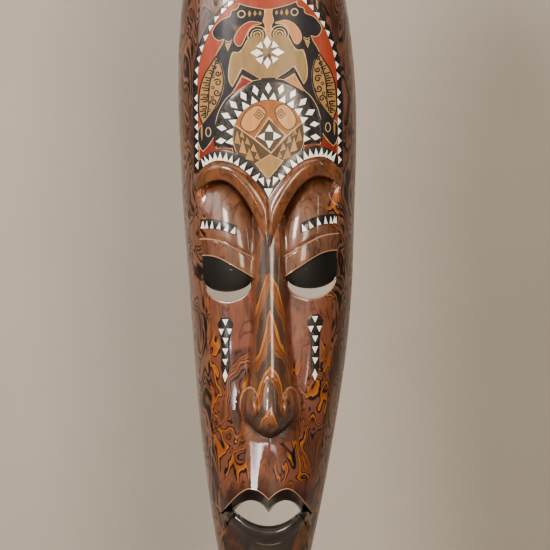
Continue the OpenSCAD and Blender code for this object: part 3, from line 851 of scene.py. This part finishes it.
def draw_wing(d, m):
    outer = curve([(61.8, 268.7), (68.8, 279), (77.2, 293), (81.8, 308.5), (83, 322.4), (83.2, 337),
                   (78.8, 350.3)], 5)
    inner = curve([(78.8, 350.3), (70.9, 341.1), (61.7, 327.5), (55.6, 312), (53.6, 299), (55.4, 284),
                   (61.8, 268.7)], 5)
    d.edged(m(np.concatenate([outer[:-1], inner[:-1]])), TAN, INK, 1.6)
    for i in range(11):
        u = (i + 1.2) / 12.5
        g = outer[int(u * (len(outer) - 1))]
        way = outer[min(int(u * (len(outer) - 1)) + 1, len(outer) - 1)] - g
        way /= np.linalg.norm(way)
        into = np.array([-abs(way[1]), way[0] * 0.6])
        width = 6.6 * sin(pi * (0.1 + 0.8 * u)) + 2.0
        a, b = g + into * 1.6, g + into * (1.6 + width)
        d.line(m([a, b, b + way * 3.0, a + way * 3.0 + into * width * 0.35]), 1.6, INK)
    spine = curve([(61.6, 274), (66, 287), (69.6, 300), (71, 313), (71.4, 327), (73.5, 340)], 6)
    d.line(m(spine), 1.6, INK)
    for x, e, r, start in ((60.2, 289.5, 3.6, 0.5), (60.6, 300.5, 4.6, 2.6), (61.4, 312.5, 4.8, 0.2),
                           (65.4, 324.5, 4.2, 3.4)):
        d.line(m(spiral(x, e, r, 1.5, start)), 1.7, INK)
    for x, e in ((66.2, 293), (66.4, 306.5), (67.4, 318), (71.5, 333.5)):
        d.line(m(circle(x - 0.4, e, 1.5, n=10)), 1.1, INK, closed=True)


def draw_disc(d):
    centre = np.array([0.6, BURST_T])
    d.edged(circle(*centre, 43.2, n=64), UMBER, CREAM, 0.9)
    roof = [(-41.4, 351.6), (-17.1, 370.4), (0.6, 345.7), (20.9, 367.6), (42, 351.6)]
    g = np.linspace(radians(158), radians(22), 24)
    top = np.stack([centre[0] + 42.6 * np.cos(g), centre[1] - 42.6 * np.sin(g)], -1)
    d.field(np.concatenate([top, roof[::-1]]), DISC_TAN)
    left_petal = curve([(-16, 330.4), (-8, 332), (-2.6, 340), (-8.6, 350), (-15.4, 359.4), (-23.5, 361.8),
                        (-31, 357), (-33, 349), (-26.5, 337.5)], 5, True)
    right_petal = curve([(13.5, 331), (8.2, 336.5), (10.4, 347), (17.5, 357), (24, 360.8), (31, 357.6),
                         (33.6, 349), (29, 338.5), (21, 330.6)], 5, True)
    for petal in (left_petal, right_petal):
        d.edged(petal, PETAL, UMBER, 1.5)
    d.line(square_spiral(-11.6, 341.2, 13.2, 1), 1.1, UMBER)
    d.line(square_spiral(15.4, 341.6, 12.4, -1), 1.1, UMBER)
    # Fan of small tan triangles under the roof
    for side in (-1, 1):
        for i, (x, e, w, h) in enumerate(((37, 368, 9, 19), (30.5, 379, 10, 20), (22.5, 389, 12, 17),
                                          (31.5, 364.5, 7, 11), (25, 372.5, 8, 12), (17.5, 381.5, 9, 12),
                                          (13, 391.5, 9, 11))):
            blade = [(x - w / 2, e + h / 2), (x + w / 2, e + h / 2 - 3), (x + 0.5, e - h / 2)]
            d.edged(mirrored(blade, side), LIGHT_TAN if i % 2 else TAN, INK, 0.6)
    d.edged([(-15.8, 400.2), (1.5, 390.3), (17.7, 398.2), (0, 419.5)], TAN, CREAM, 0.9)
    d.line([(-41.4, 351.6), (-17.1, 370.4), (3.4, 388.2), (22, 368.6), (42, 351.6)], 1.7, CREAM)
    d.edged([(0.6, 345.7), (20.9, 367.6), (3.4, 388.2), (-17.1, 370.4)], UMBER, CREAM, 1.6)
    d.field([(-3.4, 362.6), (7.2, 362.6), (7.2, 373.4), (-3.4, 373.4)], GREY_GREEN)


def both_sides(half):
    """A closed outline from its right half, given from the top down."""
    return [(-half[0][0], half[0][1])] + half + [(-x, e) for x, e in half[:0:-1] if x]


def forehead_drawing():
    d = Drawing()
    arch = [arch_point(i / 90, 0.4) for i in range(91)]
    low = [(x, float(brow_top(abs(x))) - 11.5) for x in np.linspace(ARCH_A, 0, 14)]
    low += [(-x, e) for x, e in low[-2::-1]]
    d.field(arch + low, RED)
    crescent = [(-36, 206.2), (-18, 212.6), (0, 214.8), (18, 212.6), (36, 206.2)]
    d.line(curve(crescent, 5), 0.9, CREAM)
    field = [(4, 226), (4, 240), (21, 243), (27, 254.5), (33, 265), (42.4, 266), (46, 277), (47.4, 292),
             (46, 302), (43.7, 307.6), (32.2, 284.5), (9, 298.8)]
    d.edged(both_sides(field), KHAKI, CREAM, 0.9)
    dome = [(68.5 * cos(g), BURST_T - 69.5 * sin(g) ** 0.9) for g in np.linspace(0.0, pi, 40)]
    d.field(dome + [(-66, 384), (-30, 398), (0, 424), (30, 398), (66, 384)], NAVY)
    d.field([(-40, 385), (-12, 405), (0, 421), (12, 405), (40, 385), (30, 374), (-30, 374)], UMBER)
    for side in (-1, 1):
        draw_side(d, side)
    column = [(2.6, 214.8), (4.8, 222), (6.6, 229), (3.4, 235), (2.4, 243), (0, 246.5)]
    d.edged(both_sides(column), PEACH, CREAM, 0.7)
    draw_disc(d)
    return d


def forehead_paint():
    """All fields of the drawing as one sheet of paint, cut exactly along their outlines."""
    d = forehead_drawing()
    points, edges = [], []
    for outline, _ in d.shapes:
        start, n = len(points), len(outline)
        edges += [(start + i, start + (i + 1) % n) for i in range(n)]
        points += [(float(x), float(e)) for x, e in outline]
    pitch = 4.0
    for i, e in enumerate(np.arange(192, 424, pitch)):
        for x in np.arange(-84 + (i % 2) * pitch / 2, 84.1, pitch):
            points.append((float(x), float(e)))
    cut = delaunay_2d_cdt([Vector(p) for p in points], edges, [], 0, 1e-4, False)
    x = np.array([p[0] for p in cut[0]])
    e = np.array([p[1] for p in cut[0]])
    faces = np.array(cut[2])
    middle_x, middle_e = x[faces].mean(1), e[faces].mean(1)
    owner = np.full(len(faces), -1)
    for k, (outline, _) in enumerate(d.shapes):
        low, high = outline.min(0), outline.max(0)
        near = np.nonzero((middle_x > low[0]) & (middle_x < high[0])
                          & (middle_e > low[1]) & (middle_e < high[1]))[0]
        owner[near[inside(outline, middle_x[near], middle_e[near])]] = k
    faces, owner = faces[owner >= 0], owner[owner >= 0]
    kept = [f if signed_area(x[f], e[f]) > 0 else f[::-1] for f in faces]
    colours = [srgb(d.shapes[k][1]) for k in owner]
    piece = new_piece("forehead_paint", on_wood(x, level(x, e), 0.12), kept, PAINT, "lacquered_wood")
    layer = piece.data.attributes.new("paint", "FLOAT_COLOR", "CORNER")
    corner = np.repeat(np.array(colours), [len(f) for f in kept], axis=0)
    layer.data.foreach_set("color", corner.ravel().astype(np.float32))


def signed_area(x, y):
    return float(np.sum(x * np.roll(y, -1) - np.roll(x, -1) * y))


def inside(outline, x, y):
    """Which points lie within an outline, by counting the sides that each one is left of."""
    count = np.zeros(len(x), int)
    for (ax, ay), (bx, by) in zip(outline, np.roll(outline, -1, axis=0)):
        spans = (ay > y) != (by > y)
        cross = ax + (y - ay) * (bx - ax) / (by - ay if by != ay else 1)
        count += spans & (x < cross)
    return count % 2 == 1


# ---------------- beds and chips
def bed(node, shape, grid):
    """A resin bed laid over the wood, given as rows of (x, e) across it."""
    g = np.array(grid, float)
    n, m = g.shape[:2]
    u, v = np.arange(n), np.arange(m)
    x, t = g[..., 0], level(g[..., 0], g[..., 1])
    edge = (u[:, None] == 0) | (u[:, None] == n - 1) | (v[None] == 0) | (v[None] == m - 1)
    top = on_wood(x, t, np.where(edge, 0.08, 0.28)).reshape(-1, 3)
    low = on_wood(x, t, -1.5).reshape(-1, 3)
    k = np.arange(n * m).reshape(n, m)
    faces = []
    flip = signed_area(x[[0, 1, 1, 0], [0, 0, 1, 1]], t[[0, 1, 1, 0], [0, 0, 1, 1]]) < 0
    for i in range(n - 1):
        for j in range(m - 1):
            f = [k[i, j], k[i + 1, j], k[i + 1, j + 1], k[i, j + 1]]
            faces.append(f[::-1] if flip else f)
    ring = list(k[:, 0]) + list(k[-1, 1:]) + list(k[-2::-1, -1]) + list(k[0, -2:0:-1])
    for p, q in zip(ring, ring[1:] + ring[:1]):
        side = [p, p + n * m, q + n * m, q]
        faces.append(side[::-1] if flip else side)
    points = np.concatenate([top, low])
    return new_piece(node + "_" + shape, points, faces, RESIN, "black_resin", node, sharp=50)


def turned(outline, angle):
    g = radians(angle)
    return [(u * cos(g) - v * sin(g), u * sin(g) + v * cos(g)) for u, v in outline]


def polar(r, angle):
    return r * cos(radians(angle)), r * sin(radians(angle))


def slope(line, x):
    """Angle in degrees at which a carving line falls there."""
    return degrees(atan(float(line(x + 1) - line(x))))


def triangle(w, h):
    return [(-w / 2, 0), (w / 2, 0), (0, h)]


def diamond(w, h):
    return [(0, -h / 2), (w / 2, 0), (0, h / 2), (-w / 2, 0)]


class Chips:
    """One set of shell chips, each set square to the wood with a broken edge."""

    def __init__(self, seed):
        self.points, self.faces = [], []
        self.random = np.random.default_rng(seed)

    def add(self, x, e, outline, proud=0.7):
        t = float(level(x, e))
        step = 0.6
        across = on_wood(x + step, t) - on_wood(x - step, t)
        down = on_wood(x, t - step) - on_wood(x, t + step)
        across, down = Vector(across).normalized(), Vector(down).normalized()
        out = across.cross(down).normalized()
        up = out.cross(across)
        tilt = self.random.normal(0, 0.012, 2)
        wobble = radians(self.random.normal(0, 2.2))
        size = 1 + self.random.normal(0, 0.035)
        outline = [(u * size, v * size) for u, v in turned(outline, degrees(wobble))]
        outline = [(u + self.random.normal(0, 0.12), v + self.random.normal(0, 0.12)) for u, v in outline]
        middle = np.mean(outline, axis=0)
        base = Vector(on_wood(x, t))
        start = len(self.points)
        n = len(outline)
        for height, inset in ((-0.9, 0.0), (proud - 0.22, 0.0), (proud, 0.28)):
            for u, v in outline:
                away = np.array([u, v]) - middle
                u, v = middle + away * (1 - inset / max(np.linalg.norm(away), 0.5))
                rise = height + tilt[0] * u + tilt[1] * v
                self.points.append(base + (across * u + up * v + out * rise) / 1000)
        for ring in (0, n):
            for i in range(n):
                j = (i + 1) % n
                low, high = start + ring, start + ring + n
                self.faces.append([low + i, low + j, high + j, high + i])
        self.faces.append([start + 2 * n + i for i in range(n)])

    def done(self, node):
        new_piece(node + "_set", self.points, self.faces, SHELL, "shell", node, sharp=25)


def border_bed():
    across = (0, 1.2, BAND_W / 2, BAND_W - 1.2, BAND_W)
    grid = [[arch_point(i / 120, out) for out in across] for i in range(121)]
    bed("border_bed", "band", grid)


def border_shells(side, name):
    chips = Chips(11 + side)
    for i in range(8):
        chips.add(side * (ARCH_A + 0.5), ARCH_LOW - 9 - i * (ARCH_LOW - ARCH_T - 10) / 8,
                  turned(triangle(9.5, 5), -90 * side))
    for i in range(13):
        g = radians(90 * (i + 0.5) / 13)
        facing = degrees(atan2(sin(g) / ARCH_B, cos(g) / ARCH_A))
        chips.add(side * (ARCH_A + 0.5) * cos(g), ARCH_T - (ARCH_B + 0.5) * sin(g),
                  turned(triangle(9.5, 5), side * (facing - 90)))
    chips.done(name)


def brow_bed():
    grid = []
    for i in range(65):
        x = 83.5 * sin(radians(-90 + 180 * i / 64))
        low = float(brow_top(abs(x)))
        high = low - 13 - 10 * (1 - abs(x) / 85) ** 3
        grid.append([(x, high + (low - high) * v) for v in (0, 0.1, 0.5, 0.9, 1)])
    bed("brow_bed", "band", grid)


def brow_shells(side, name):
    chips = Chips(21 + side)
    for i in range(11):
        x = 84.5 * sin(radians(11.8 + 5.25 * i))
        tilt = slope(brow_top, x)
        chip = triangle(7.6 - 0.12 * i, 10.5)
        chips.add(side * x, float(brow_top(x)) - 0.6, turned(chip, -side * tilt))
    chips.done(name)


def brow_point_shells():
    chips = Chips(31)
    chips.add(0, 436, [(-5.5, 5.5), (0, -6), (5.5, 5.5)])
    chips.add(0, 424.5, [(-2.6, 4.5), (0, -4.5), (2.6, 4.5)])
    for side in (-1, 1):
        kite = [(-3 * side, 5), (4.5 * side, 2.5), (-3 * side, -6.5)]
        chips.add(side * 8.3, 421.5, kite if side < 0 else kite[::-1])
    chips.done("brow_point_shells")


def sunburst():
    grid = []
    for i in range(61):
        g = radians(190 - 200 * i / 60)
        grid.append([(r * cos(g), BURST_T - r * sin(g)) for r in (42.4, 43.4, 48, 54, 60, 65, 66)])
    bed("sunburst_bed", "dome", grid)
    rays = Chips(41)
    for i in range(14):
        g = 187 - 194 * i / 13
        x, y = polar(43, g)
        rays.add(x, BURST_T - y, turned(triangle(9.2, 9.0), g - 90))
    rays.done("sunburst_triangles")
    outer = Chips(42)
    for i in range(13):
        g = 184 - 188 * i / 12
        x, y = polar(57, g)
        outer.add(x, BURST_T - y, turned(diamond(7.8, 13.4), g - 90))
    outer.done("sunburst_diamonds")
    cross = Chips(43)
    for g in (0, 90, 180, 270):
        x, y = polar(9.5, g + 90)
        cross.add(1.2 + x, 368 - y, turned([(-5, -4), (5, -4), (0, 5)], g))
    cross.done("medallion_shells")


def star():
    quarter = [(0, 21.2), (21, 13.4), (28, 16.6), (45, 15.2), (62, 16.6), (69, 13.4)]
    rim = [(r * sin(radians(90 * q + g)), r * cos(radians(90 * q + g)))
           for q in range(4) for g, r in quarter]
    grid = [[(STAR_X + u * s, STAR_T - v * s) for s in (0.02, 0.35, 0.7, 0.94, 1)]
            for u, v in rim + rim[:1]]
    bed("star_bed", "plate", grid).data.materials[0] = star_ground_material()
    chips = Chips(51)
    for i in range(8):
        r = 12.3 if i % 2 else 12.6
        g = radians(45 * i)
        shape = [(-4.8, 2.6), (0, -5.6), (4.8, 2.6)] if i % 2 else diamond(9, 15)
        chips.add(STAR_X - r * sin(g), STAR_T - r * cos(g), turned(shape, 45 * i))
    chips.done("star_shells")


def lid_band_low(a):
    return 476 + 0.42 * soft(62 - a, 5)


def eyelid(side, word):
    grid = []
    for i in range(17):
        a = 60.5 + side * 22.5 * (i / 8 - 1)
        low = float(lid_band_low(a))
        grid.append([(side * a, low - 12 + 12 * v) for v in (0, 0.12, 0.5, 0.88, 1)])
    bed("eyelid_bed_" + word, "band", grid)
    chips = Chips(61 + side)
    for i in range(7):
        x = 43.5 + 37 * sin(radians(90 * i / 6)) ** 1.1
        tilt = slope(lid_band_low, x)
        chip = triangle(6.6 - 0.35 * i, 9.4)
        chips.add(side * x, float(lid_band_low(x)) - 0.5, turned(chip, -side * tilt))
    chips.done("eyelid_shells_" + word)


COLUMN_X = 54
COLUMN_T = 584


def cheek(side, word):
    stations = np.linspace(0, 84, 30)
    half = np.interp(stations, [0, 8, 20, 32, 64, 84], [5, 10, 6.5, 5.4, 4.8, 0.6])
    grid = [[(side * COLUMN_X + s * w, COLUMN_T + t) for s in (-1, -0.8, 0, 0.8, 1)]
            for t, w in zip(stations, half)]
    bed("cheek_bed_" + word, "column", grid)
    drop = np.array([(-4, 4), (0, -4.5), (4, 4)])
    chips = Chips(71 + side)
    chips.add(side * COLUMN_X, COLUMN_T + 6, drop)
    for s in (-1, 1):
        chips.add(side * COLUMN_X + s * 5, COLUMN_T + 17.5, drop * 0.9)
    for i in range(3):
        chips.add(side * COLUMN_X, COLUMN_T + 29 + 13 * i, drop * 0.92)
    chips.add(side * COLUMN_X, COLUMN_T + 71.5, diamond(6.4, 15.5))
    chips.done("cheek_shells_" + word)


def hanger():
    """The steel pieces keep their CAD shape and get a zinc finish; the strap and screws get broken edges.
    """
    for name in ("hanger_strap", "hanger_ring", "hanger_screws"):
        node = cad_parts[name]
        node.data.materials.clear()
        node.data.materials.append(STEEL)
        if name != "hanger_ring":
            edge = node.modifiers.new("edge", "BEVEL")
            edge.width = 0.0002
            edge.segments = 2
            edge.limit_method = "ANGLE"


# ---------------- camera, light and backdrop
EYE_LEVEL = -0.4648
EYE_X = 0.008
PLANE_D = 0.04
VIEW_H = 0.6655
CAMERA_D = 6.0


def camera():
    data = bpy.data.cameras.new("camera")
    eye = placed("camera", data)
    eye.location = (EYE_X, -CAMERA_D, EYE_LEVEL)
    eye.rotation_euler = (pi / 2, 0, 0)
    data.sensor_width = 36
    data.lens = data.sensor_width * (CAMERA_D - PLANE_D) / VIEW_H
    SCENE.camera = eye


def lamp(name, place, size, power, target=(0, 0, -0.42), colour=(1, 1, 1)):
    data = bpy.data.lights.new(name, "AREA")
    data.shape = "RECTANGLE"
    data.energy = power
    data.size, data.size_y = size
    data.color = colour
    light = placed(name, data)
    light.location = place
    light.rotation_euler = (Vector(target) - Vector(place)).to_track_quat("-Z", "Y").to_euler()


def backdrop(name, corners, one_sided):
    mesh = bpy.data.meshes.new(name)
    mesh.from_pydata(corners, [], [(0, 1, 2, 3)])
    s = Shader(name, Roughness=0.9)
    s.colour(s.ramp(s.noise(s.point, 3.0), [(0.3, "#b3aca3"), (0.7, "#b8b1a8")]))
    if one_sided:
        clear = s.add("ShaderNodeBsdfTransparent")
        behind = s.add("ShaderNodeNewGeometry").outputs["Backfacing"]
        blend = s.add("ShaderNodeMixShader", Fac=behind)
        s.put(blend.inputs[1], s.main.outputs[0])
        s.put(blend.inputs[2], clear.outputs[0])
        s.put(s.tree.nodes["Material Output"].inputs["Surface"], blend.outputs[0])
    mesh.materials.append(s.material)
    plane = placed(name, mesh)
    plane.visible_shadow = not one_sided


def studio():
    wall_y, floor_z = 0.55, wood_low[2] - 0.12
    wall = [(-3, wall_y, floor_z), (3, wall_y, floor_z), (3, wall_y, 2.2), (-3, wall_y, 2.2)]
    backdrop("wall", wall, True)
    backdrop("floor", [(-3, -4, floor_z), (3, -4, floor_z), (3, 4, floor_z), (-3, 4, floor_z)], False)
    warm = (1.0, 0.87, 0.72)
    lamp("window", (-0.81, -1.41, -0.660), (0.32, 0.024), 1.1)
    lamp("key", (-1.25, -2.1, 0.55), (0.6, 0.6), 40, colour=(1.0, 0.92, 0.83))
    lamp("left", (-1.75, -0.95, 0.55), (0.9, 1.0), 11, colour=(1.0, 0.98, 0.95))
    lamp("front", (0.60, -2.7, 0.09), (0.68, 1.02), 32, colour=warm)
    lamp("sliver", (0.72, -1.55, -0.76), (0.05, 0.12), 0.25)
    lamp("glint", (1.15, -0.95, 0.1), (0.05, 0.8), 1.6, colour=warm)
    lamp("wall_wash", (0.0, -0.9, 1.7), (2.4, 0.6), 13, target=(0, 0.55, -0.5))
    lamp("back", (0.5, 1.6, 0.3), (1.4, 1.4), 14)
    world = bpy.data.worlds.new("world")
    world.use_nodes = True
    world.node_tree.nodes["Background"].inputs[0].default_value = (0.8, 0.78, 0.75, 1)
    world.node_tree.nodes["Background"].inputs[1].default_value = 0.12
    SCENE.world = world
    SCENE.view_settings.look = "AgX - Medium High Contrast"


camera()
studio()
wood_body()
forehead_paint()
border_bed()
brow_bed()
sunburst()
star()
brow_point_shells()
for side, word in ((-1, "left"), (1, "right")):
    border_shells(side, "border_shells_" + word)
    brow_shells(side, "brow_shells_" + word)
    eyelid(side, word)
    cheek(side, word)
hanger()
